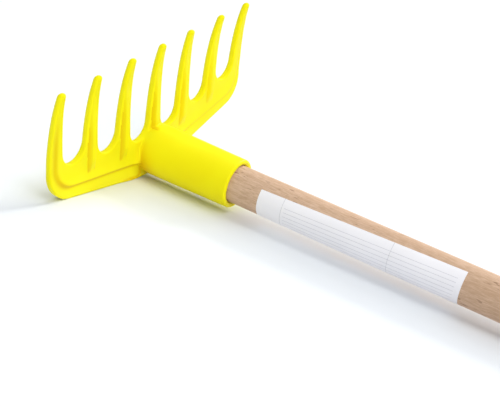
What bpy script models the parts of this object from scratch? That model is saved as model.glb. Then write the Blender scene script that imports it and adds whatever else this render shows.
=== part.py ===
"""A child's garden rake: a moulded head with seven tines, pressed onto a round beech handle.

The pieces are drawn in the head's own frame. X runs along the head, +Z runs up the tines, and the handle's
axis is the Y axis, with the handle towards -Y and the head's flat back on y = 0. The empty "lying_rake" then
sets the tool down as it lies on the ground: rolled onto one arm of the head, with the far end of the handle
down. The finished frame has its origin on the ground, below the middle of the tool. Sizes are in metres.
"""

import math

import bmesh
import bpy
from mathutils import Matrix, Vector

# Tines
TINE_COUNT = 7
TINE_PITCH = 0.0285
TINE_TOP = 0.0661
TINE_ROOT_HEIGHT = 0.018
TINE_ROOT_WIDTH = 0.0096
TINE_TIP_WIDTH = 0.0047
TINE_TIP_DEPTH = 0.0042
TINE_LEAN = 0.0018
TINE_HOOK = 0.0054
BEND_START = 0.012

# Plate that carries the tines
VALLEY_HEIGHT = 0.0074
VALLEY_SLOPE = math.radians(9.45)
ARM_DROP = 0.0182
ARM_SLOPE = math.radians(13.4)
APEX_RADIUS = 0.010
CORNER_RADIUS = 0.0115
PLATE_DEPTH = 0.0062
EDGE_ROUND = 0.0019

# Recessed band along the lower edge, and the panel that overhangs it
BAND_HEIGHT = 0.0105
BAND_DEPTH = 0.0046
BAND_CORNER_RADIUS = 0.0080
BAND_SIDE_OFFSET = 0.0006
PANEL_OVERHANG = 0.0018
PANEL_TOP_BELOW_VALLEYS = 0.0024
PAD_HALF_WIDTH = 0.0190
PAD_HEIGHT = 0.0008
PAD_CORNER_RADIUS = 0.0042
PAD_RIM = 0.0021

# Stiffening rib on the handle side of each inner tine
RIB_WIDTH = 0.0031
RIB_HEIGHT = 0.0020
RIB_FOOT_BELOW_VALLEY = 0.0055
RIB_TOP = 0.047
RIB_EDGE_ROUND = 0.0007
RIB_SINK = 0.0003

# Handle
HANDLE_DIAMETER = 0.0220
HANDLE_LENGTH = 0.690
HANDLE_END_ROUND = 0.0025

# Socket
SOCKET_LENGTH = 0.0625
SOCKET_ROOT_RADIUS = 0.0152
SOCKET_MOUTH_RADIUS = 0.01435
SOCKET_FILLET = 0.0012
MOUTH_ROUND = 0.0016
BORE_MOUTH_CHAMFER = 0.0006
BORE_FLOOR = 0.0065
HANDLE_CLEARANCE = 0.0003

# Fixing screw, in the underside of the socket
SCREW_POSITION = 0.041
SCREW_SHANK_DIAMETER = 0.0034
SCREW_HEAD_DIAMETER = 0.0068
SCREW_HEAD_DEPTH = 0.0022
SCREW_LENGTH = 0.0150
SCREW_POINT_LENGTH = 0.0030
SCREW_CLEARANCE = 0.0003
SCREW_SINK = 0.0003
RECESS_LENGTH = 0.0036
RECESS_WIDTH = 0.0009
RECESS_DEPTH = 0.0014

# Paper label round the handle
LABEL_START = 0.0829
LABEL_LENGTH = 0.1207
LABEL_WIDTH = 0.0260
LABEL_THICKNESS = 0.00015
LABEL_GAP = 0.0003
LABEL_TOP_ANGLE = math.radians(131.5)
LABEL_SKEW = math.radians(1.8)

# Fineness of the facets, and the distance under which corners are one
ROUND_STEPS = 48
ARC_STEPS = 6
EDGE_STEPS = 3
TINE_STEPS = 5
LABEL_STEPS = 8
WELD = 0.000001
SHARP_ANGLE = math.radians(32)

HANDLE_RADIUS = HANDLE_DIAMETER / 2
BORE_RADIUS = HANDLE_RADIUS + HANDLE_CLEARANCE
HANDLE_START = BORE_FLOOR + HANDLE_CLEARANCE
TIP_RADIUS = TINE_TIP_WIDTH / 2
TIP_CENTRE_HEIGHT = TINE_TOP - TIP_RADIUS
OUTER_TINE = (TINE_COUNT - 1) / 2 * TINE_PITCH
HEAD_HALF_WIDTH = OUTER_TINE + TINE_ROOT_WIDTH / 2
TINE_TAPER = (TINE_ROOT_WIDTH / 2 - TIP_RADIUS) / (TIP_CENTRE_HEIGHT - TINE_ROOT_HEIGHT)
SCREW_HEAD_RADIUS = SCREW_HEAD_DIAMETER / 2
SCREW_SHANK_RADIUS = SCREW_SHANK_DIAMETER / 2


def clear_scene():
    for obj in list(bpy.data.objects):
        bpy.data.objects.remove(obj, do_unlink=True)


def make_material(name, colour, roughness, metallic=0.0):
    material = bpy.data.materials.new(name)
    material.use_nodes = True
    shader = material.node_tree.nodes["Principled BSDF"]
    shader.inputs["Base Color"].default_value = (*colour, 1.0)
    shader.inputs["Roughness"].default_value = roughness
    shader.inputs["Metallic"].default_value = metallic
    return material


def make_object(name, bm, material=None):
    """A mesh object from a bmesh, with its faces turned outwards and its round sides smooth."""
    bmesh.ops.recalc_face_normals(bm, faces=bm.faces)
    mesh = bpy.data.meshes.new(name)
    bm.to_mesh(mesh)
    bm.free()
    mesh.shade_smooth()
    mesh.set_sharp_from_angle(angle=SHARP_ANGLE)
    obj = bpy.data.objects.new(name, mesh)
    bpy.context.scene.collection.objects.link(obj)
    if material:
        mesh.materials.append(material)
    return obj


def make_helpers(group_name, shapes):
    """A collection of shapes that only join or cut another one, from (name, bmesh) pairs."""
    group = bpy.data.collections.new(group_name)
    bpy.context.scene.collection.children.link(group)
    for name, bm in shapes:
        obj = make_object(name, bm)
        obj.hide_render = True
        obj.display_type = "WIRE"
        bpy.context.scene.collection.objects.unlink(obj)
        group.objects.link(obj)
    return group


def combine(target, helpers, operation):
    """Joins or cuts with every shape of a collection at once."""
    modifier = target.modifiers.new(helpers.name, "BOOLEAN")
    modifier.operation = operation
    modifier.solver = "EXACT"
    modifier.operand_type = "COLLECTION"
    modifier.collection = helpers


def arc(centre, radius, start, end, steps):
    """Points along an arc in the plane of the arc, both ends included."""
    turns = [start + (end - start) * i / steps for i in range(steps + 1)]
    return [(centre[0] + radius * math.cos(a), centre[1] + radius * math.sin(a)) for a in turns]


def mirrored(points):
    """The left-hand copy of a run of points on the right, in the order that closes the outline."""
    return [(-x, z) for x, z in reversed(points)]


def turned(profile, steps=ROUND_STEPS):
    """A solid turned about the Y axis from (radius, y) points, the first and last of them on the axis."""
    bm = bmesh.new()
    rim = [bm.verts.new((radius, y, 0.0)) for radius, y in profile]
    edges = [bm.edges.new(pair) for pair in zip(rim, rim[1:])]
    full_turn = 2 * math.pi
    bmesh.ops.spin(bm, geom=rim + edges, cent=(0, 0, 0), axis=(0, 1, 0), angle=full_turn, steps=steps)
    bmesh.ops.remove_doubles(bm, verts=bm.verts, dist=WELD)
    return bm


def prism(outline, near, far):
    """An (x, z) outline pushed out from y = near to y = far."""
    bm = bmesh.new()
    face = bm.faces.new([bm.verts.new((x, near, z)) for x, z in outline])
    made = bmesh.ops.extrude_face_region(bm, geom=[face])["geom"]
    moved = [item for item in made if isinstance(item, bmesh.types.BMVert)]
    bmesh.ops.translate(bm, verts=moved, vec=(0, far - near, 0))
    return bm


# The head's outline

def arm_edge(x, lift=0.0):
    """Height at x of the head's lower edge, or of a line parallel to it."""
    return lift - ARM_DROP + abs(x) * math.tan(ARM_SLOPE)


def valley_floor(x):
    """Lowest point of the gap between two tines whose middle is at x."""
    return VALLEY_HEIGHT + abs(x) * math.tan(VALLEY_SLOPE)


def tine_half_width(z):
    return TIP_RADIUS + TINE_TAPER * (TIP_CENTRE_HEIGHT - max(z, TINE_ROOT_HEIGHT))


def valley_radius(x):
    """The round between two tines, as wide as the gap where its sides begin."""
    at_floor = TIP_RADIUS + TINE_TAPER * (TIP_CENTRE_HEIGHT - valley_floor(x))
    return (TINE_PITCH / 2 - at_floor) / (1 - TINE_TAPER)


def tine_centres():
    return [(i - (TINE_COUNT - 1) / 2) * TINE_PITCH for i in range(TINE_COUNT)]


def bend_share(z):
    return max(0.0, (z - BEND_START) / (TINE_TOP - BEND_START))


def back_at(z):
    """Where the back of a tine stands: it leans back a little and then hooks forwards."""
    share = bend_share(z)
    return TINE_LEAN * share - TINE_HOOK * share**3


def depth_at(z):
    return PLATE_DEPTH + (TINE_TIP_DEPTH - PLATE_DEPTH) * bend_share(z)


def step_end():
    """Height at which an outer tine has thinned to the band's own depth, where the step runs out."""
    share = (PLATE_DEPTH - BAND_DEPTH) / (PLATE_DEPTH - TINE_TIP_DEPTH)
    return BEND_START + share * (TINE_TOP - BEND_START)


def corner_arc(side_x, lift, radius):
    """The head's lower corner on the right, or a line parallel to it."""
    x = side_x - radius
    centre = (x, arm_edge(x, lift) + radius / math.cos(ARM_SLOPE))
    return arc(centre, radius, ARM_SLOPE - math.pi / 2, 0.0, ARC_STEPS)


def lower_edge():
    """The outline below the steps' ends, from left to right."""
    apex = (0.0, arm_edge(0) + APEX_RADIUS / math.cos(ARM_SLOPE))
    middle = arc(apex, APEX_RADIUS, -math.pi / 2 - ARM_SLOPE, ARM_SLOPE - math.pi / 2, ARC_STEPS // 2)
    right = corner_arc(HEAD_HALF_WIDTH, 0.0, CORNER_RADIUS)
    right += [(OUTER_TINE + tine_half_width(z), z) for z in (TINE_ROOT_HEIGHT, step_end())]
    return mirrored(right) + middle + right


def step_line():
    """The step between the band and the raised face, from left to right."""
    side_x = OUTER_TINE + BAND_SIDE_OFFSET
    right = corner_arc(side_x, BAND_HEIGHT, BAND_CORNER_RADIUS) + [(side_x, step_end())]
    return mirrored(right) + [(0.0, arm_edge(0, BAND_HEIGHT))] + right


def tine_line():
    """The outline above the steps' ends, over every tine and gap, from right to left."""
    points = []
    for x in reversed(tine_centres()):
        points += arc((x, TIP_CENTRE_HEIGHT), TIP_RADIUS, 0.0, math.pi, ARC_STEPS)
        gap = x - TINE_PITCH / 2
        if gap > -OUTER_TINE:
            radius = valley_radius(gap)
            centre = (gap, valley_floor(gap) + radius)
            points += arc(centre, radius, 0.0, -math.pi, 2 * ARC_STEPS)
    return points


def panel_top(x):
    """The line below the gaps from which the panel's face slopes out, down to the step."""
    return valley_floor(x) - PANEL_TOP_BELOW_VALLEYS


def cut_across(bm, point, normal, side=0):
    """Splits the faces that a plane crosses: all of them, or those on one side of the middle."""
    faces = [face for face in bm.faces if face.calc_center_median().x * side >= 0]
    geom = faces + list({edge for face in faces for edge in face.edges})
    geom += list({vert for face in faces for vert in face.verts})
    bmesh.ops.bisect_plane(bm, geom=geom, dist=WELD, plane_co=point, plane_no=normal)


def flat_key(vert):
    return (round(vert.co.x, 6), round(vert.co.z, 6))


def overhang(x, z):
    """How far the panel's face stands out: most at its lower edge, nothing at the gaps or outer tines."""
    step = arm_edge(x, BAND_HEIGHT)
    fall = (panel_top(x) - z) / (panel_top(x) - step)
    side = (OUTER_TINE - abs(x)) / (TINE_PITCH / 2)
    return PANEL_OVERHANG * min(max(fall, 0.0), 1.0) * min(max(side, 0.0), 1.0)


def push_out(bm, faces, distance):
    """Extrudes faces towards the handle and returns the moved ones. The faces stay where they were, too."""
    made = bmesh.ops.extrude_face_region(bm, geom=faces)["geom"]
    moved = [item for item in made if isinstance(item, bmesh.types.BMVert)]
    bmesh.ops.translate(bm, verts=moved, vec=(0, -distance, 0))
    return [item for item in made if isinstance(item, bmesh.types.BMFace)]


def shape_depth(bm):
    """Thins and bends the tines, and slopes the panel's face, by moving each level's corners along Y."""
    for vert in bm.verts:
        x, level, z = vert.co.x, -vert.co.y, vert.co.z
        depth = depth_at(z)
        if level > BAND_DEPTH + WELD:
            depth += overhang(x, z)
        elif level > WELD:
            depth = min(BAND_DEPTH, depth)
        else:
            depth = 0.0
        vert.co.y = back_at(z) - depth


def build_blade():
    """The plate and its tines: one sheet with two fields, pushed out to two depths, bent and rounded."""
    bm = bmesh.new()
    step, upper = step_line(), tine_line()
    ends = lower_edge()
    seam = [ends[-1]] + upper + [ends[0]]
    verts = {}

    def vert(point):
        key = (round(point[0], 6), round(point[1], 6))
        if key not in verts:
            verts[key] = bm.verts.new((point[0], 0.0, point[1]))
        return verts[key]

    band = bm.faces.new([vert(p) for p in ends + step[::-1]])
    raised = bm.faces.new([vert(p) for p in step + seam])
    band.material_index, raised.material_index = 0, 1
    for i in range(1, TINE_STEPS):
        height = TINE_ROOT_HEIGHT + (step_end() - TINE_ROOT_HEIGHT) * i / TINE_STEPS
        cut_across(bm, (0, 0, height), (0, 0, 1))
    for height in (step_end(), TIP_CENTRE_HEIGHT):
        cut_across(bm, (0, 0, height), (0, 0, 1))
    for x in tine_centres()[:-1]:
        cut_across(bm, (x + TINE_PITCH / 2, 0, 0), (1, 0, 0))
    cut_across(bm, (0, 0, 0), (1, 0, 0))
    for side in (-1, 1):
        along_gaps = (-side * math.tan(VALLEY_SLOPE), 0, 1)
        cut_across(bm, (0, 0, panel_top(0)), along_gaps, side)
    rim = {frozenset(map(flat_key, edge.verts)) for edge in bm.edges if len(edge.link_faces) == 1}
    fronts = push_out(bm, bm.faces[:], BAND_DEPTH)
    raised_fronts = [face for face in fronts if face.material_index == 1]
    push_out(bm, raised_fronts, PLATE_DEPTH - BAND_DEPTH)
    bmesh.ops.delete(bm, geom=raised_fronts, context="FACES")
    shape_depth(bm)
    bmesh.ops.remove_doubles(bm, verts=bm.verts, dist=WELD)
    bmesh.ops.recalc_face_normals(bm, faces=bm.faces)
    on_rim = [edge for edge in bm.edges if frozenset(map(flat_key, edge.verts)) in rim]
    inside_walls = [e for e in on_rim if all(abs(face.normal.y) < 0.5 for face in e.link_faces)]
    corners = [e for e in on_rim if e not in set(inside_walls)]
    bmesh.ops.dissolve_edges(bm, edges=inside_walls, use_verts=True)
    corners = [e for e in corners if e.is_valid]
    bmesh.ops.bevel(bm, geom=corners, offset=EDGE_ROUND, segments=EDGE_STEPS, profile=0.5, affect="EDGES")
    for face in bm.faces:
        face.material_index = 0
    return bm


def build_rib(x):
    """A rib up the middle of a tine, from inside the panel to where it fades into the tine."""
    foot = valley_floor(max(abs(x) - TINE_PITCH / 2, 0.0)) - RIB_FOOT_BELOW_VALLEY
    heights = [foot + (RIB_TOP - foot) * i / TINE_STEPS for i in range(TINE_STEPS + 1)]
    foot_face = -PLATE_DEPTH - overhang(x, foot)
    front = [(foot_face + RIB_SINK, foot)]
    for z in heights[1:]:
        share = max(0.0, (RIB_TOP - z) / (RIB_TOP - heights[1]))
        front.append((back_at(z) - depth_at(z) + RIB_SINK - (RIB_HEIGHT + RIB_SINK) * share**0.8, z))
    rear = [(back_at(z) - depth_at(z) / 2, z) for z in (RIB_TOP, TINE_ROOT_HEIGHT, foot)]
    bm = bmesh.new()
    side = bm.faces.new([bm.verts.new((x - RIB_WIDTH / 2, y, z)) for y, z in front + rear])
    made = bmesh.ops.extrude_face_region(bm, geom=[side])["geom"]
    moved = [item for item in made if isinstance(item, bmesh.types.BMVert)]
    bmesh.ops.translate(bm, verts=moved, vec=(RIB_WIDTH, 0, 0))
    bmesh.ops.recalc_face_normals(bm, faces=bm.faces)
    long_edges = []
    for edge in bm.edges:
        sideways = [abs(face.normal.x) > 0.9 for face in edge.link_faces]
        facing = [face.normal.y < -0.5 for face in edge.link_faces]
        if any(sideways) and any(facing):
            long_edges.append(edge)
    bmesh.ops.bevel(bm, geom=long_edges, offset=RIB_EDGE_ROUND, segments=2, profile=0.5, affect="EDGES")
    return bm


def build_pad():
    """The low pad that ends the recessed band on each side of the socket."""
    top = arm_edge(PAD_HALF_WIDTH, BAND_HEIGHT + PAD_RIM)
    centre = (PAD_HALF_WIDTH, arm_edge(PAD_HALF_WIDTH, PAD_RIM) + PAD_CORNER_RADIUS)
    start = (PAD_HALF_WIDTH - PAD_CORNER_RADIUS, top)
    right = [(PAD_HALF_WIDTH, arm_edge(PAD_HALF_WIDTH, EDGE_ROUND / 2))]
    right += arc(centre, PAD_CORNER_RADIUS, -math.pi / 2, -math.pi, ARC_STEPS // 2) + [start]
    low = [(0.0, arm_edge(0, EDGE_ROUND / 2))]
    high = [(0.0, arm_edge(0, BAND_HEIGHT + PAD_RIM))]
    outline = low + right + high + mirrored(right)
    return prism(outline, -BAND_DEPTH / 2, -BAND_DEPTH - PAD_HEIGHT)


def build_socket():
    """The tube that takes the handle, flared where it leaves the plate and rounded at its mouth."""
    flare_centre = (SOCKET_ROOT_RADIUS + SOCKET_FILLET, -PLATE_DEPTH - SOCKET_FILLET)
    flare = arc(flare_centre, SOCKET_FILLET, math.pi / 2, math.pi, ARC_STEPS // 2)
    lip_centre = (SOCKET_MOUTH_RADIUS - MOUTH_ROUND, -SOCKET_LENGTH + MOUTH_ROUND)
    lip = arc(lip_centre, MOUTH_ROUND, 0.0, -math.pi / 2, ARC_STEPS // 2)
    inside = -PLATE_DEPTH / 2
    return turned([(0.0, inside), (SOCKET_ROOT_RADIUS, inside), *flare[1:], *lip, (0.0, -SOCKET_LENGTH)])


def build_bore():
    """What is cut from the socket: the handle's place, with a chamfer at its mouth."""
    chamfer = -SOCKET_LENGTH + BORE_MOUTH_CHAMFER
    past_mouth = -SOCKET_LENGTH - MOUTH_ROUND
    widest = BORE_RADIUS + chamfer - past_mouth
    wall = [(BORE_RADIUS, -BORE_FLOOR), (BORE_RADIUS, chamfer), (widest, past_mouth)]
    return turned([(0.0, -BORE_FLOOR), *wall, (0.0, past_mouth)])


# Handle, screw and label

def build_handle():
    """The dowel, its two ends rounded alike."""
    far = -HANDLE_START - HANDLE_LENGTH
    inner = HANDLE_RADIUS - HANDLE_END_ROUND
    near_centre, far_centre = (inner, -HANDLE_START - HANDLE_END_ROUND), (inner, far + HANDLE_END_ROUND)
    near_round = arc(near_centre, HANDLE_END_ROUND, math.pi / 2, 0.0, ARC_STEPS // 2)
    far_round = arc(far_centre, HANDLE_END_ROUND, 0.0, -math.pi / 2, ARC_STEPS // 2)
    return turned([(0.0, -HANDLE_START), *near_round, *far_round, (0.0, far)])


def socket_radius(y):
    """Outer radius of the socket where it tapers from the plate to its mouth."""
    share = (-y - PLATE_DEPTH) / (SOCKET_LENGTH - PLATE_DEPTH)
    return SOCKET_ROOT_RADIUS + (SOCKET_MOUTH_RADIUS - SOCKET_ROOT_RADIUS) * share


def screw_head_face():
    """How far the screw's flat face lies below the handle's axis, a little sunk in the socket's wall."""
    return socket_radius(-SCREW_POSITION) - SCREW_SINK


def stand_at_screw(bm):
    """Turns a shape made along Y, face first, so that it runs up through the socket's underside."""
    bmesh.ops.rotate(bm, verts=bm.verts, cent=(0, 0, 0), matrix=Matrix.Rotation(math.pi / 2, 3, "X"))
    bmesh.ops.translate(bm, verts=bm.verts, vec=(0, -SCREW_POSITION, -screw_head_face()))
    return bm


def screw_profile(clearance, face):
    """The screw's outline from its face to its point, or its hole when there is clearance."""
    head, shank = SCREW_HEAD_RADIUS + clearance, SCREW_SHANK_RADIUS + clearance
    neck = SCREW_HEAD_DEPTH + clearance
    end = SCREW_LENGTH + clearance
    return [
        (0.0, face),
        (head, face),
        (head, SCREW_SINK),
        (shank, neck),
        (shank, end - SCREW_POINT_LENGTH),
        (shank / 4, end),
        (0.0, end),
    ]


def build_screw():
    return stand_at_screw(turned(screw_profile(0.0, 0.0), ROUND_STEPS // 2))


def build_screw_hole():
    return stand_at_screw(turned(screw_profile(SCREW_CLEARANCE, -SCREW_HEAD_DEPTH), ROUND_STEPS // 2))


def build_recess_bar(along_x):
    """One bar of the cross recess in the screw's face."""
    length, width = (RECESS_LENGTH, RECESS_WIDTH) if along_x else (RECESS_WIDTH, RECESS_LENGTH)
    bm = bmesh.new()
    bmesh.ops.create_cube(bm, size=1.0)
    bmesh.ops.scale(bm, verts=bm.verts, vec=(length, 2 * RECESS_DEPTH, width))
    return stand_at_screw(bm)


def build_label():
    """A sheet wrapped part of the way round the handle, set a little askew."""
    radius = HANDLE_RADIUS + LABEL_GAP
    turn = LABEL_WIDTH / radius
    around = ROUND_STEPS // 2
    bm = bmesh.new()
    rows = []
    for i in range(LABEL_STEPS + 1):
        along = LABEL_LENGTH * i / LABEL_STEPS
        top = LABEL_TOP_ANGLE - along * math.tan(LABEL_SKEW) / radius
        ring = arc((0.0, 0.0), radius, top, top + turn, around)
        rows.append([bm.verts.new((x, -LABEL_START - along, z)) for x, z in ring])
    for a, b in zip(rows, rows[1:]):
        for j in range(around):
            bm.faces.new([a[j], a[j + 1], b[j + 1], b[j]])
    return bm


def thicken(obj, thickness):
    modifier = obj.modifiers.new("thickness", "SOLIDIFY")
    modifier.thickness = thickness
    modifier.offset = 1.0
    modifier.use_even_offset = True


# The whole tool

def build_head(material, screw_place):
    head = make_object("rake_head", build_blade(), material)
    shapes = [(f"rib_{i + 1}", build_rib(x)) for i, x in enumerate(tine_centres()[1:-1])]
    shapes += [("socket_pad", build_pad()), ("socket_tube", build_socket())]
    combine(head, make_helpers("head_additions", shapes), "UNION")
    combine(head, make_helpers("handle_place", [("handle_bore", build_bore())]), "DIFFERENCE")
    combine(head, screw_place, "DIFFERENCE")
    return head


def build_parts():
    plastic = make_material("yellow_plastic", (0.96, 0.83, 0.005), 0.42)
    beech = make_material("beech", (0.66, 0.45, 0.29), 0.55)
    paper = make_material("paper", (0.90, 0.89, 0.91), 0.60)
    steel = make_material("zinc_plated_steel", (0.60, 0.60, 0.58), 0.35, 1.0)
    screw_place = make_helpers("screw_place", [("screw_hole", build_screw_hole())])
    head = build_head(plastic, screw_place)
    handle = make_object("handle", build_handle(), beech)
    combine(handle, screw_place, "DIFFERENCE")
    screw = make_object("fixing_screw", build_screw(), steel)
    bars = [("recess_bar_long", build_recess_bar(True)), ("recess_bar_cross", build_recess_bar(False))]
    combine(screw, make_helpers("recess", bars), "DIFFERENCE")
    label = make_object("label", build_label(), paper)
    thicken(label, LABEL_THICKNESS)
    return [head, handle, screw, label]


def lying_turn():
    """Rolls the tool until the left arm's edge is level, then lowers the handle's far end to the ground."""
    roll = Matrix.Rotation(-ARM_SLOPE, 4, "Y")
    axis_height = ARM_DROP * math.cos(ARM_SLOPE)
    reach = HANDLE_START + HANDLE_LENGTH - HANDLE_END_ROUND
    pitch = Matrix.Rotation(math.asin((axis_height - HANDLE_RADIUS) / reach), 4, "X")
    return pitch @ roll


def box_of(parts):
    """Lowest and highest corner of the finished parts."""
    graph = bpy.context.evaluated_depsgraph_get()
    points = []
    for obj in parts:
        shown = obj.evaluated_get(graph)
        points += [shown.matrix_world @ vert.co for vert in shown.data.vertices]
    low = Vector(min(point[axis] for point in points) for axis in range(3))
    high = Vector(max(point[axis] for point in points) for axis in range(3))
    return low, high


def lay_down(parts):
    """Hangs every part and helper on the empty that lays the tool down, with the origin on the ground."""
    rest = bpy.data.objects.new("lying_rake", None)
    bpy.context.scene.collection.objects.link(rest)
    for obj in bpy.data.objects:
        if obj != rest:
            obj.parent = rest
    rest.matrix_world = lying_turn()
    bpy.context.view_layer.update()
    low, high = box_of(parts)
    ground = Vector(((low.x + high.x) / 2, (low.y + high.y) / 2, low.z))
    rest.matrix_world = Matrix.Translation(-ground) @ lying_turn()
    bpy.context.view_layer.update()


def main():
    clear_scene()
    lay_down(build_parts())


main()
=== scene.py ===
"""The dressed rake: a moulded yellow head with curved tines, a beech stick and a bare ruled label.

Every new piece is worked out in the tool's own frame and then laid down as the solids are. In the tool's
frame X runs along the head, +Z runs up the tines and the stick's axis is the Y axis, with the stick towards
-Y and the solid head's back at y = 0. All sizes are in metres and all angles in degrees.
"""

from __future__ import annotations

import logging
import math
from collections.abc import Callable
from dataclasses import dataclass
from enum import Enum

import bpy
import numpy as np
from mathutils import Matrix, Vector


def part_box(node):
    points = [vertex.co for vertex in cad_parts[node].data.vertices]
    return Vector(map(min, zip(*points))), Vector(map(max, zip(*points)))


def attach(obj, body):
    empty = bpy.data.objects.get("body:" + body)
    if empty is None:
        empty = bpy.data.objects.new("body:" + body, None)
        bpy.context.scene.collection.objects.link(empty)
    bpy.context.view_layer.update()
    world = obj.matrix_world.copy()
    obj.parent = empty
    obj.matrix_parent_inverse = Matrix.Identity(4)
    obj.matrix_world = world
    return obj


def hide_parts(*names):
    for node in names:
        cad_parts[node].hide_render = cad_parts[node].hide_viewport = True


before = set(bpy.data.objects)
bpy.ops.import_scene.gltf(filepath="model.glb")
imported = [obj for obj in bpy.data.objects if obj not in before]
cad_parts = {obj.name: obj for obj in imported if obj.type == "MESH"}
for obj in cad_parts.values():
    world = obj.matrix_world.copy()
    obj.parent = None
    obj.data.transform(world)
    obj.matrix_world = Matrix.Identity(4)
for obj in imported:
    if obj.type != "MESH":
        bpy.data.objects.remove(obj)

log = logging.getLogger("rake")

Array = np.ndarray
Distance = Callable[[Array, Array, Array], Array]
Pair = tuple[float, float]
Triple = tuple[float, float, float]

BODY = "root"
LABEL_LENGTH = 0.1207
LABEL_MAP = "label"

# Least length by which a vector is divided
TINY = 1e-12

# Numbers of the Mix node's colour sockets
MIX_FIRST, MIX_SECOND, MIX_RESULT = 6, 7, 2


# Arrays and surfaces


def ease(low: float | Array, high: float | Array, values: Array) -> Array:
    """Rises smoothly from 0 at low to 1 at high: t * t * (3 - 2 t), with t held between 0 and 1.

    Args:
        low: The value at which the rise starts.
        high: The value at which it ends. It may be below low, and the curve then falls.
        values: Where to work it out.

    Returns:
        The curve at each value.
    """
    t = np.clip((values - low) / (high - low), 0.0, 1.0)
    return t * t * (3.0 - 2.0 * t)


def bell(values: Array, width: float | Array) -> Array:
    """Bell curve exp(-(v / w)^2): 1 where a value is nought, and near 0 beyond twice the width."""
    return np.exp(-((values / width) ** 2))


def to_right(x: Array, loss: float, length: float) -> Array:
    """1 on the left of the middle, falling on the right by a loss, over a length."""
    return 1.0 - loss * ease(0.0, length, x)


def rounded_overlap(a: Array, b: Array, radius: float | Array) -> Array:
    """Distance to what two shapes share, the edge where they cross rounded to a radius.

    Args:
        a: Distance to the first shape, negative inside.
        b: Distance to the second shape.
        radius: Radius of the rounded edge.

    Returns:
        The smaller of -radius and max(a, b), plus the length of the parts of (a, b) above -radius.
    """
    reach = np.hypot(np.maximum(a + radius, 0.0), np.maximum(b + radius, 0.0))
    return np.minimum(np.maximum(a, b), -radius) + reach


def filleted_union(a: Array, b: Array, radius: float) -> Array:
    """Distance to two joined shapes, with a hollow fillet where they meet.

    Args:
        a: Distance to the first shape, negative inside.
        b: Distance to the second shape.
        radius: Radius of the fillet.

    Returns:
        The larger of radius and min(a, b), less the length of the parts of (a, b) below radius.
    """
    reach = np.hypot(np.maximum(radius - a, 0.0), np.maximum(radius - b, 0.0))
    return np.maximum(np.minimum(a, b), radius) - reach


def stops(*runs: Triple) -> Array:
    """Grid lines for one axis, each once, from runs of (start, end, widest step) in rising order."""
    pieces = [np.linspace(a, b, max(2, math.ceil((b - a) / gap) + 1)) for a, b, gap in runs]
    return np.unique(np.round(np.concatenate(pieces), 9))


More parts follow.
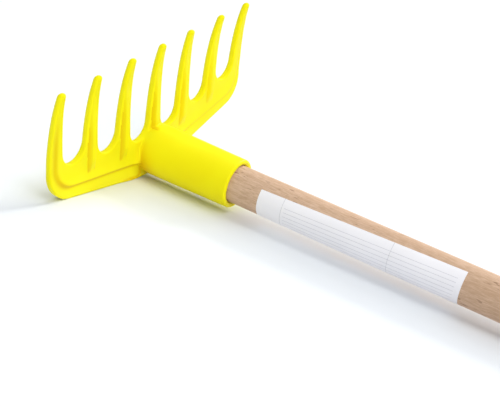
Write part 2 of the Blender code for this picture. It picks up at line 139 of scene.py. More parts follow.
@dataclass
class LevelSurface:
    """The surface on which a distance is nought, found on a grid of straight lines.

    Attributes:
        distance: The signed distance, negative inside.
        x: Places of the grid lines along X.
        y: Places of the grid lines along Y.
        z: Places of the grid lines along Z.
        probe: Half the step that measures a slope.
        rounds: How often the points are drawn onto the surface.
        longest_move: How far a point may be drawn in a round, as a share of the finest spacing.
        least_slope: Least slope, squared, that a move is worked out with.
    """

    distance: Distance
    x: Array
    y: Array
    z: Array
    probe: float = 0.00004
    rounds: int = 5
    longest_move: float = 0.6
    least_slope: float = 0.05

    def cell_points(self, values: Array, cells: tuple[Array, ...]) -> Array:
        """One point for each cell that the surface crosses.

        Each of a cell's twelve edges with a change of sign is cut where the distance, taken as straight
        along the edge, is nought. The cell's point is the mean of those cuts.

        Args:
            values: The distance at every grid point.
            cells: Index arrays (i, j, k) of the crossed cells.

        Returns:
            The points, one row for each cell.
        """
        lines = (self.x, self.y, self.z)
        total = np.zeros((len(cells[0]), 3))
        count = np.zeros(len(cells[0]))
        for axis in range(3):
            one, two = [other for other in range(3) if other != axis]
            for step_one in (0, 1):
                for step_two in (0, 1):
                    near = list(cells)
                    near[one] = near[one] + step_one
                    near[two] = near[two] + step_two
                    far = list(near)
                    far[axis] = far[axis] + 1
                    a, b = values[tuple(near)], values[tuple(far)]
                    cut = (a < 0.0) != (b < 0.0)
                    share = np.where(cut, a / np.where(cut, a - b, 1.0), 0.0)
                    place = np.empty((len(a), 3))
                    place[:, one] = lines[one][near[one]]
                    place[:, two] = lines[two][near[two]]
                    low, high = lines[axis][near[axis]], lines[axis][far[axis]]
                    place[:, axis] = low + (high - low) * share
                    total += np.where(cut[:, None], place, 0.0)
                    count += cut
        return total / count[:, None]

    def faces(self, inside: Array, number: Array) -> Array:
        """One four-sided face round each grid edge whose ends lie on different sides of the surface.

        Args:
            inside: Whether each grid point is inside.
            number: The number of each cell's point, or -1.

        Returns:
            The faces' corner numbers, facing out.
        """
        found = []
        for axis in range(3):
            order = (axis, (axis + 1) % 3, (axis + 2) % 3)
            a = np.moveaxis(inside, order, (0, 1, 2))
            cell = np.moveaxis(number, order, (0, 1, 2))
            start, end = a[:-1, 1:-1, 1:-1], a[1:, 1:-1, 1:-1]
            i, j, k = np.nonzero(start != end)
            ring = [cell[i, j + one, k + two] for one, two in ((0, 0), (1, 0), (1, 1), (0, 1))]
            quad = np.stack(ring, axis=1)
            found.append(np.where(start[i, j, k][:, None], quad, quad[:, ::-1]))
        return np.concatenate(found)

    def slope(self, points: Array) -> Array:
        """The distance's gradient, from differences over twice the probe.

        Args:
            points: Where to work it out, one row each.

        Returns:
            The gradients, one row each.
        """
        columns = []
        for axis in range(3):
            step = np.zeros(3)
            step[axis] = self.probe
            ahead, behind = (points + step).T, (points - step).T
            columns.append((self.distance(*ahead) - self.distance(*behind)) / (2.0 * self.probe))
        return np.stack(columns, axis=1)

    def hollows(self, points: Array, reach: float) -> Array:
        """How deep in a hollow each point lies: 1 - (distance at a step of reach along the normal) / reach.

        Args:
            points: Points on the surface.
            reach: Length of the step.

        Returns:
            0 on open ground to 1 in a narrow corner.
        """
        normal = self.slope(points)
        normal /= np.maximum(np.linalg.norm(normal, axis=1), TINY)[:, None]
        return np.clip(1.0 - self.distance(*(points + reach * normal).T) / reach, 0.0, 1.0)

    def build(self) -> tuple[Array, Array]:
        """Finds the surface and draws its points onto it.

        Returns:
            The points and the four-sided faces.
        """
        grid = np.meshgrid(self.x, self.y, self.z, indexing="ij")
        values = self.distance(*grid)
        inside = values < 0.0
        corners = sum(
            inside[i : i + len(self.x) - 1, j : j + len(self.y) - 1, k : k + len(self.z) - 1].astype(np.int8)
            for i in (0, 1)
            for j in (0, 1)
            for k in (0, 1)
        )
        cells = np.nonzero((corners > 0) & (corners < 8))
        number = np.full(corners.shape, -1)
        number[cells] = np.arange(len(cells[0]))
        points = self.cell_points(values, cells)
        longest = self.longest_move * float(np.diff(self.x).min())
        for _ in range(self.rounds):
            gradient = self.slope(points)
            size = np.maximum((gradient**2).sum(axis=1), self.least_slope)
            move = -(self.distance(*points.T) / size)[:, None] * gradient
            length = np.maximum(np.linalg.norm(move, axis=1), TINY)
            points = points + move * np.minimum(1.0, longest / length)[:, None]
        return points, self.faces(inside, number)


def ring_surface(profile: Array, around: int) -> tuple[Array, Array]:
    """A closed surface turned about the Y axis: point (i, j) is (r_i cos a_j, y_i, r_i sin a_j).

    Args:
        profile: Rows of (radius, y), from one pole to the other. The two poles' radii are nought.
        around: Number of points round each ring.

    Returns:
        The points and the faces' corner numbers. A face at a pole repeats its pole's number.
    """
    turn = np.arange(around) * (2.0 * np.pi / around)
    rings = profile[1:-1]
    x = rings[:, :1] * np.cos(turn)
    z = rings[:, :1] * np.sin(turn)
    y = np.broadcast_to(rings[:, 1:], x.shape)
    poles = [[0.0, profile[0, 1], 0.0], [0.0, profile[-1, 1], 0.0]]
    points = np.concatenate([np.stack([x, y, z], axis=-1).reshape(-1, 3), poles])
    i, j = np.meshgrid(np.arange(len(rings) - 1), np.arange(around), indexing="ij")
    after = (j + 1) % around
    above, below = i * around, (i + 1) * around
    quads = np.stack([above + j, above + after, below + after, below + j], -1)
    first, last = len(points) - 2, len(points) - 1
    here = np.arange(around)
    beside = (here + 1) % around
    base = (len(rings) - 1) * around
    start = np.stack([np.full(around, first), beside, here, here], -1)
    end = np.stack([np.full(around, last), base + here, base + beside, base + beside], -1)
    return points, np.concatenate([quads.reshape(-1, 4), start, end])


def sheet_surface(outer: Array, inner: Array) -> tuple[Array, Array]:
    """A closed thin sheet from two grids of points, its outer and its inner side, joined round their rims.

    Args:
        outer: Points of the outer side, (rows, columns, 3).
        inner: The inner side's points, under the outer ones.

    Returns:
        The points and the faces' corner numbers.
    """
    rows, columns = outer.shape[:2]
    number = np.arange(rows * columns).reshape(rows, columns)
    corners = [number[:-1, :-1], number[:-1, 1:], number[1:, 1:], number[1:, :-1]]
    top = np.stack(corners, -1).reshape(-1, 4)
    bottom = top[:, ::-1] + rows * columns
    rim = np.concatenate([number[0, :-1], number[:-1, -1], number[-1, :0:-1], number[:0:-1, 0]])
    after = np.roll(rim, -1)
    wall = np.stack([rim, rim + rows * columns, after + rows * columns, after], -1)
    points = np.concatenate([outer.reshape(-1, 3), inner.reshape(-1, 3)])
    return points, np.concatenate([top, bottom, wall])


def volume(points: Array, faces: Array) -> float:
    """Signed volume of a closed surface: a sixth of the sum of its triangles' triple products.

    Args:
        points: Its points.
        faces: Corner numbers, four to a row.

    Returns:
        The volume, above nought if the faces point outwards.
    """
    corners = points[faces]
    total = 0.0
    for b, c in ((1, 2), (2, 3)):
        total += float(np.einsum("ij,ij->", corners[:, 0], np.cross(corners[:, b], corners[:, c])))
    return total / 6.0


def make_piece(name: str, points: Array, faces: Array, material: bpy.types.Material) -> bpy.types.Object:
    """A smooth mesh object at the origin, its faces turned outwards.

    Args:
        name: The object's name.
        points: World points, one row each.
        faces: Corner numbers, four to a row. A corner given twice makes a triangle.
        material: The finish.

    Returns:
        The object, linked to the scene.
    """
    if volume(points, faces) < 0.0:
        faces = faces[:, ::-1]
    keep = faces != np.roll(faces, -1, axis=1)
    corners = faces[keep]
    counts = keep.sum(axis=1)
    starts = np.concatenate([[0], np.cumsum(counts)[:-1]])
    mesh = bpy.data.meshes.new(name)
    mesh.vertices.add(len(points))
    mesh.vertices.foreach_set("co", points.astype(np.float32).ravel())
    mesh.loops.add(len(corners))
    mesh.loops.foreach_set("vertex_index", corners.astype(np.int32))
    mesh.polygons.add(len(counts))
    mesh.polygons.foreach_set("loop_start", starts.astype(np.int32))
    mesh.update(calc_edges=True)
    mesh.validate()
    mesh.shade_smooth()
    mesh.materials.append(material)
    piece = bpy.data.objects.new(name, mesh)
    bpy.context.scene.collection.objects.link(piece)
    return piece


def dress(piece: bpy.types.Object, node: str) -> None:
    """Lets a new piece stand for a solid and ride with the tool.

    Args:
        piece: The new piece.
        node: The solid that it stands for.
    """
    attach(piece, BODY)
    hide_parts(node)
    mesh = piece.data
    log.info("%s: %d points, %d faces, for %s", piece.name, len(mesh.vertices), len(mesh.polygons), node)


# The tool's place


@dataclass(frozen=True)
class Lying:
    """How the tool lies: rolled onto one arm of the head, with the stick's far end on the ground.

    Attributes:
        arm_slope: Slope of the head's arms, which is how far the tool rolls.
        arm_drop: How far the solid head's lower edge lies below the stick's axis.
        stick_radius: The stick's radius.
        stick_start: Where the stick's near end lies, behind the head's back.
        stick_length: The stick's length.
        end_round: Rounding of the stick's ends.
    """

    arm_slope: float = 13.4
    arm_drop: float = 0.0182
    stick_radius: float = 0.0110
    stick_start: float = 0.0068
    stick_length: float = 0.690
    end_round: float = 0.0025

    def turn(self) -> Matrix:
        """The roll about the stick, then the small pitch that brings its far end down to the ground.

        Returns:
            The turn, with no shift.
        """
        slope = math.radians(self.arm_slope)
        reach = self.stick_start + self.stick_length - self.end_round
        pitch = math.asin((self.arm_drop * math.cos(slope) - self.stick_radius) / reach)
        return Matrix.Rotation(pitch, 4, "X") @ Matrix.Rotation(-slope, 4, "Y")

    def matrix(self) -> Matrix:
        """From the tool's frame to the world: the turn, then a shift that lands the stick on its solid.

        Returns:
            The matrix.
        """
        low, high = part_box("handle")
        middle = (Vector(low) + Vector(high)) / 2.0
        own = Vector((0.0, -self.stick_start - self.stick_length / 2.0, 0.0))
        return Matrix.Translation(middle - self.turn() @ own) @ self.turn()

    def place(self, points: Array) -> Array:
        """Points of the tool's frame, one row each, carried to the world."""
        matrix = np.array(self.matrix())
        return points @ matrix[:3, :3].T + matrix[:3, 3]


# Shader maths


class Operation(Enum):
    """The Math node's operations that the finishes use."""

    ADD = "ADD"
    SUBTRACT = "SUBTRACT"
    MULTIPLY = "MULTIPLY"
    DIVIDE = "DIVIDE"
    POWER = "POWER"
    MOST = "MAXIMUM"
    ABSOLUTE = "ABSOLUTE"
    ABOVE = "GREATER_THAN"
    BELOW = "LESS_THAN"
    FRACTION = "FRACT"


@dataclass(frozen=True)
class Value:
    """A socket of a finish under construction. Python's operators on it add Math nodes.

    Attributes:
        finish: The node tree's keeper.
        socket: The output socket.
    """

    finish: Finish
    socket: bpy.types.NodeSocket

    def __add__(self, other: Value | float) -> Value:
        """Sum of the two."""
        return self.finish.maths(Operation.ADD, self, other)

    def __radd__(self, other: float) -> Value:
        """Sum of the two."""
        return self.finish.maths(Operation.ADD, other, self)

    def __sub__(self, other: Value | float) -> Value:
        """This less the other."""
        return self.finish.maths(Operation.SUBTRACT, self, other)

    def __rsub__(self, other: float) -> Value:
        """The other less this."""
        return self.finish.maths(Operation.SUBTRACT, other, self)

    def __mul__(self, other: Value | float) -> Value:
        """Product of the two."""
        return self.finish.maths(Operation.MULTIPLY, self, other)

    def __rmul__(self, other: float) -> Value:
        """Product of the two."""
        return self.finish.maths(Operation.MULTIPLY, other, self)

    def __truediv__(self, other: Value | float) -> Value:
        """This over the other."""
        return self.finish.maths(Operation.DIVIDE, self, other)

    def __rtruediv__(self, other: float) -> Value:
        """The other over this."""
        return self.finish.maths(Operation.DIVIDE, other, self)

    def __pow__(self, other: float) -> Value:
        """This to the power of the other."""
        return self.finish.maths(Operation.POWER, self, other)

    def __rpow__(self, other: float) -> Value:
        """The other to the power of this."""
        return self.finish.maths(Operation.POWER, other, self)


@dataclass(frozen=True)
class Grain:
    """A noise pattern that lies still on the object.

    Attributes:
        scale: Its fineness.
        detail: Number of finer layers.
        roughness: Share that each finer layer has.
        stretch: Fineness along X, Y and Z, as shares of the scale.
        held: The noise that becomes 0 and the noise that becomes 1, along a smooth curve. Without them the
            noise is left as it is.
    """

    scale: float
    detail: float = 3.0
    roughness: float = 0.5
    stretch: Triple = (1.0, 1.0, 1.0)
    held: Pair | None = None


class Finish:
    """A material and the nodes that make it.

    Attributes:
        material: The material.
        tree: Its node tree.
        shader: Its Principled shader.
    """

    def __init__(self, name: str, constants: dict[str, float | Triple]) -> None:
        """Starts a material with a Principled shader.

        Args:
            name: The material's name.
            constants: What is the same all over, for the shader's own sockets.
        """
        self.material = bpy.data.materials.new(name)
        self.material.use_nodes = True
        self.tree = self.material.node_tree
        self.shader = self.tree.nodes["Principled BSDF"]
        for socket, constant in constants.items():
            self.feed(self.shader.inputs[socket], constant)

    def feed(self, socket: bpy.types.NodeSocket, value: Value | float | Triple) -> None:
        """Links a Value to a socket, or sets the socket to a number, colour or vector.

        Args:
            socket: The input socket.
            value: What it gets.
        """
        if isinstance(value, Value):
            self.tree.links.new(value.socket, socket)
        elif socket.type == "RGBA":
            socket.default_value = (*value, 1.0)
        else:
            socket.default_value = value

    def node(self, kind: str, settings: dict | None = None, inputs: dict | None = None) -> bpy.types.Node:
        """Adds a node.

        Args:
            kind: The node's type.
            settings: Its settings, set first.
            inputs: A number, colour, vector or Value for each named or numbered socket.

        Returns:
            The node.
        """
        made = self.tree.nodes.new(kind)
        for key, setting in (settings or {}).items():
            setattr(made, key, setting)
        for key, value in (inputs or {}).items():
            self.feed(made.inputs[key], value)
        return made

    def value(self, node: bpy.types.Node, output: str | int = 0) -> Value:
        """One output of a node, for use in expressions."""
        return Value(self, node.outputs[output])

    def maths(self, operation: Operation, first: Value | float, second: Value | float = 0.0) -> Value:
        """A Math node on two values."""
        return self.value(self.node("ShaderNodeMath", {"operation": operation.value}, {0: first, 1: second}))

    def attribute(self, name: str) -> Value:
        """A number that the piece's points carry."""
        return self.value(self.node("ShaderNodeAttribute", {"attribute_name": name}), "Fac")

    def curve(self, value: Value, held: Pair) -> Value:
        """Maps the first of two numbers to 0 and the second to 1 along a smooth curve, held at both ends.

        Args:
            value: What is mapped.
            held: The two numbers.

        Returns:
            The curve's height, 0 to 1.
        """
        settings = {"interpolation_type": "SMOOTHSTEP", "clamp": True}
        inputs = {"Value": value, "From Min": held[0], "From Max": held[1]}
        return self.value(self.node("ShaderNodeMapRange", settings, inputs))

    def noise(self, grain: Grain) -> Value:
        """The noise of a grain.

        Args:
            grain: The pattern.

        Returns:
            The noise, between 0 and 1.
        """
        where = self.value(self.node("ShaderNodeTexCoord"), "Object")
        placed = {"Vector": where, "Scale": grain.stretch}
        stretched = self.node("ShaderNodeMapping", {"vector_type": "POINT"}, placed)
        layers = {"Scale": grain.scale, "Detail": grain.detail, "Roughness": grain.roughness}
        layers["Vector"] = self.value(stretched)
        noise = self.value(self.node("ShaderNodeTexNoise", None, layers))
        return self.curve(noise, grain.held) if grain.held else noise

    def blend(self, share: Value | float, first: Value | Triple, second: Value | Triple) -> Value:
        """Mixes two colours, with share 0 giving the first."""
        inputs = {0: share, MIX_FIRST: first, MIX_SECOND: second}
        return self.value(self.node("ShaderNodeMix", {"data_type": "RGBA"}, inputs), MIX_RESULT)

    def surface(self, colour: Value, roughness: Value, height: Value, depth: float) -> bpy.types.Material:
        """Joins the finish to the shader.

        Args:
            colour: The base colour.
            roughness: The roughness.
            height: Height of the relief, 0 to 1.
            depth: Height in metres for which the relief counts.

        Returns:
            The material.
        """
        bump = self.node("ShaderNodeBump", None, {"Height": height, "Distance": depth, "Strength": 1.0})
        joined = {"Base Color": colour, "Roughness": roughness, "Normal": self.value(bump)}
        for socket, value in joined.items():
            self.feed(self.shader.inputs[socket], value)
        return self.material


# Finishes


@dataclass(frozen=True)
class MouldedPlastic:
    """Satin injection-moulded plastic: nearly even colour, fine grain, faint flow marks and scuffs.

    The colour is denser in patches. In folds and in broad hollows it goes towards a darker amber, painted
    shade where shadow falls.

    Attributes:
        name: The material's name.
        colour: The main colour.
        deep: The colour of the slightly denser patches.
        painted_shade_colour: The darker amber of the painted shade in folds and hollows.
        painted_fold_shade_share: How far the painted shade takes the colour towards it in a fold.
        painted_hollow_shade_share: How far the painted shade takes it there in broad hollows.
        painted_hollow_shade_power: How strongly that painted shade keeps to the deepest of them.
        patches: Pattern of the denser patches.
        flow: Pattern of the flow marks, drawn out along the head.
        fine: Pattern of the grain.
        scuffs: Pattern of the scuffs.
        roughness: Roughness of the clean plastic, and what flow marks, scuffs and grain add to it.
        relief: Shares of grain and flow marks in the surface's relief.
        depth: Depth of that relief.
    """

    name: str = "moulded_yellow"
    colour: Triple = (0.975, 0.890, 0.010)
    deep: Triple = (0.955, 0.850, 0.008)
    painted_shade_colour: Triple = (0.720, 0.400, 0.001)
    painted_fold_shade_share: float = 0.72
    painted_hollow_shade_share: float = 0.22
    painted_hollow_shade_power: float = 1.5
    patches: Grain = Grain(38.0, 2.0, held=(0.35, 0.75))
    flow: Grain = Grain(60.0, stretch=(1.0, 1.0, 5.0))
    fine: Grain = Grain(2600.0, 2.0, 0.6)
    scuffs: Grain = Grain(420.0, 4.0, 0.7, (1.0, 0.25, 1.0), (0.62, 0.78))
    roughness: tuple[float, float, float, float] = (0.36, 0.10, 0.12, 0.06)
    relief: Pair = (0.75, 0.25)
    depth: float = 0.00002

    def material(self) -> bpy.types.Material:
        """Builds the finish.

        Returns:
            The material.
        """
        constants = {
            "IOR": 1.49,
            "Specular IOR Level": 0.12,
            "Specular Tint": (1.0, 0.90, 0.22),
            "Subsurface Weight": 0.08,
            "Subsurface Scale": 0.003,
            "Subsurface Radius": (1.0, 0.75, 0.05),
        }
        finish = Finish(self.name, constants)
        flow, fine = finish.noise(self.flow), finish.noise(self.fine)
        colour = finish.blend(finish.noise(self.patches), self.colour, self.deep)
        # Painted shade in broad hollows, where shadow falls.
        hollow = finish.attribute("hollow") ** self.painted_hollow_shade_power
        colour = finish.blend(self.painted_hollow_shade_share * hollow, colour, self.painted_shade_colour)
        # Painted shade in the front's folds and under the socket's root, where shadow falls.
        colour = finish.blend(self.painted_fold_shade_share * finish.attribute("painted_fold_shade"), colour, self.painted_shade_colour)
        clean, by_flow, by_scuffs, by_fine = self.roughness
        roughness = clean + by_flow * flow + by_scuffs * finish.noise(self.scuffs) + by_fine * fine
        return finish.surface(colour, roughness, self.relief[0] * fine + self.relief[1] * flow, self.depth)


@dataclass(frozen=True)
class Beech:
    """Turned and sanded bare beech: pale pinkish brown, long faint bands, short dark flecks along the grain.

    Attributes:
        name: The material's name.
        pale: The light bands.
        brown: The dark bands.
        fleck: The flecks.
        fleck_share: How strongly the flecks show.
        bands: Pattern of the bands, drawn out along the stick.
        fibre: Pattern of the fibres.
        cloud: Pattern of the broad changes of tone.
        pores: Pattern of the flecks.
        spread: Pattern of the places that have flecks.
        tone: Shares of bands, fibres and cloud in the tone.
        tone_held: The tones that are fully pale and fully brown.
        roughness: Roughness between the fibres, and what fibres and bands add to it.
        relief: Shares of fibres, bands and flecks in the grain's relief.
        depth: Depth of that relief.
    """

    name: str = "bare_beech"
    pale: Triple = (0.730, 0.515, 0.365)
    brown: Triple = (0.545, 0.350, 0.222)
    fleck: Triple = (0.270, 0.140, 0.075)
    fleck_share: float = 0.72
    bands: Grain = Grain(170.0, 4.0, 0.55, (1.0, 0.035, 1.0))
    fibre: Grain = Grain(1900.0, 3.0, 0.7, (1.0, 0.10, 1.0))
    cloud: Grain = Grain(28.0, 2.0, stretch=(1.0, 0.3, 1.0))
    pores: Grain = Grain(900.0, 1.0, 0.4, (1.0, 0.22, 1.0), (0.64, 0.70))
    spread: Grain = Grain(90.0, 2.0, 0.5, (1.0, 0.5, 1.0), (0.44, 0.60))
    tone: Triple = (0.34, 0.52, 0.14)
    tone_held: Pair = (0.38, 0.62)
    roughness: Triple = (0.58, 0.14, -0.05)
    relief: Triple = (0.8, 0.2, -0.5)
    depth: float = 0.00005

    def material(self) -> bpy.types.Material:
        """Builds the finish.

        Returns:
            The material.
        """
        finish = Finish(self.name, {"IOR": 1.45, "Specular IOR Level": 0.30})
        bands, fibre, cloud = (finish.noise(grain) for grain in (self.bands, self.fibre, self.cloud))
        fleck = finish.noise(self.pores) * finish.noise(self.spread)
        tone = self.tone[0] * bands + self.tone[1] * fibre + self.tone[2] * cloud
        wood = finish.blend(finish.curve(tone, self.tone_held), self.pale, self.brown)
        colour = finish.blend(self.fleck_share * fleck, wood, self.fleck)
        roughness = self.roughness[0] + self.roughness[1] * fibre + self.roughness[2] * bands
        height = self.relief[0] * fibre + self.relief[1] * bands + self.relief[2] * fleck
        return finish.surface(colour, roughness, height, self.depth)


@dataclass(frozen=True)
class RuledPaper:
    """White label paper with thin grey ruled lines in fields, and nothing written on it.

    The label's UV map holds its own sizes: U runs along it and V across it, both in metres.

    Attributes:
        name: The material's name.
        white: The paper.
        dimmed: How bright its dimmer patches are, as a share of the white.
        ink: The ruled lines.
        ink_share: How strongly they show.
        margin: From the label's edge to the first line, and half the margin round the lines.
        spacing: From one ruled line to the next.
        line: Thickness of a line.
        dividers: Places of the lines that divide it into fields, along its length.
        patches: Pattern of the dimmer patches.
        fibre: Pattern of the paper's fibres.
        roughness: Roughness between the fibres, and what they add to it.
        depth: Depth of their relief.
    """

    name: str = "ruled_label_paper"
    white: Triple = (0.985, 0.965, 0.995)
    dimmed: float = 0.965
    ink: Triple = (0.36, 0.35, 0.40)
    ink_share: float = 0.55
    margin: float = 0.0016
    spacing: float = 0.0024
    line: float = 0.00022
    dividers: Pair = (0.0150, 0.0800)
    patches: Grain = Grain(45.0, 2.0, held=(0.3, 0.7))
    fibre: Grain = Grain(900.0, 4.0, 0.6)
    roughness: Pair = (0.46, 0.14)
    depth: float = 0.00002

    def ruling(self, finish: Finish) -> Value:
        """The ruled lines: a row is ruled where the fraction of its place, over the spacing, is near a half.

        Args:
            finish: The finish under construction.

        Returns:
            1 on a line and 0 beside it.
        """
        where = finish.value(finish.node("ShaderNodeUVMap", {"uv_map": LABEL_MAP}))
        parts = finish.node("ShaderNodeSeparateXYZ", None, {0: where})
        along, across = finish.value(parts, "X"), finish.value(parts, "Y")
        row = finish.maths(Operation.FRACTION, (across - self.margin) / self.spacing)
        off_line = finish.maths(Operation.ABSOLUTE, row - 0.5)
        ink = finish.maths(Operation.BELOW, off_line, self.line / 2.0 / self.spacing)
        ink = ink * finish.maths(Operation.ABOVE, along, self.dividers[0] + self.margin)
        ink = ink * finish.maths(Operation.BELOW, along, LABEL_LENGTH - 2.0 * self.margin)
        ink = ink * finish.maths(Operation.ABOVE, across, 2.0 * self.margin)
        for place in self.dividers:
            off_divider = finish.maths(Operation.ABSOLUTE, along - place)
            divider = finish.maths(Operation.BELOW, off_divider, self.line / 2.0)
            ink = finish.maths(Operation.MOST, ink, divider)
        return ink

    def material(self) -> bpy.types.Material:
        """Builds the finish.

        Returns:
            The material.
        """
        finish = Finish(self.name, {"IOR": 1.45, "Specular IOR Level": 0.35})
        fibre = finish.noise(self.fibre)
        dim = tuple(self.dimmed * part for part in self.white)
        paper = finish.blend(finish.noise(self.patches), self.white, dim)
        colour = finish.blend(self.ink_share * self.ruling(finish), paper, self.ink)
        return finish.surface(colour, self.roughness[0] + self.roughness[1] * fibre, fibre, self.depth)


@dataclass(frozen=True)
class ZincPlate:
    """Bright zinc plating: grey with a faint yellow cast, fine brushed marks and a little dulling.

    Attributes:
        name: The material's name.
        bright: The clean metal.
        dull: The dulled patches.
        patches: Pattern of those patches.
        marks: Pattern of the brushed marks.
        roughness: Roughness of the clean metal, and what patches and marks add to it.
        depth: Depth of the marks.
    """

    name: str = "zinc_plate"
    bright: Triple = (0.66, 0.66, 0.64)
    dull: Triple = (0.46, 0.45, 0.40)
    patches: Grain = Grain(700.0, held=(0.40, 0.65))
    marks: Grain = Grain(900.0, 2.0, stretch=(1.0, 12.0, 1.0))
    roughness: Triple = (0.24, 0.18, 0.08)
    depth: float = 0.00001

    def material(self) -> bpy.types.Material:
        """Builds the finish.

        Returns:
            The material.
        """
        finish = Finish(self.name, {"Metallic": 1.0})
        patches, marks = finish.noise(self.patches), finish.noise(self.marks)
        colour = finish.blend(patches, self.bright, self.dull)
        roughness = self.roughness[0] + self.roughness[1] * patches + self.roughness[2] * marks
        return finish.surface(colour, roughness, marks, self.depth)


# The pieces


@dataclass(frozen=True)
class PaintedFoldShade:
    """Painted shade where the head's front folds: a darker colour that stands in for the shadows there.

    Of a pair of places, the first has none of a shade and the second has all of it.

    Attributes:
        behind: Shares of the band's depth, from the back, between which the front's shades set in.
        ahead: Distances in front of the plate between which they end.
        step_place: How far below the step its shade is darkest.
        step_spread: Half width of that shade.
        step_widening: How much wider it is at the outer tines.
        step_end: Heights between which it fades out up the outer tines.
        outer_loss: What it loses at the outer tines.
        outer_heights: Heights between which it does.
        step_right: What it loses on the right arm, where less shadow falls, and over what length.
        rib: Strength of the shade on a rib's sides.
        rib_power: How slowly that falls towards the rib's top.
        rib_start: Length over which it sets in at the rib's foot.
        rib_right: What it loses on the right arm, where less shadow falls, and over what length.
        rim: Strength of the shade along the pad's edge.
        rim_spread: Half width of that shade.
        rim_below: Distances below the step between which it sets in.
        root: Strength of the shade under the socket's root.
        root_length: How far along the socket that reaches.
        root_heights: Heights between which it fades out.
        root_start: Distances in front of the plate between which it sets in.
    """

    behind: Pair = (0.4, 0.9)
    ahead: Pair = (0.0060, 0.0030)
    step_place: float = 0.0003
    step_spread: float = 0.0008
    step_widening: float = 0.0010
    step_end: Pair = (0.058, 0.034)
    outer_loss: float = 0.32
    outer_heights: Pair = (0.008, 0.018)
    step_right: Pair = (0.60, 0.030)
    rib: float = 0.85
    rib_power: float = 0.6
    rib_start: float = 0.0018
    rib_right: Pair = (0.50, 0.050)
    rim: float = 0.90
    rim_spread: float = 0.0008
    rim_below: Pair = (-0.0006, 0.0004)
    root: float = 0.95
    root_length: float = 0.0150
    root_heights: Pair = (0.0130, -0.0060)
    root_start: Pair = (0.0014, 0.0022)


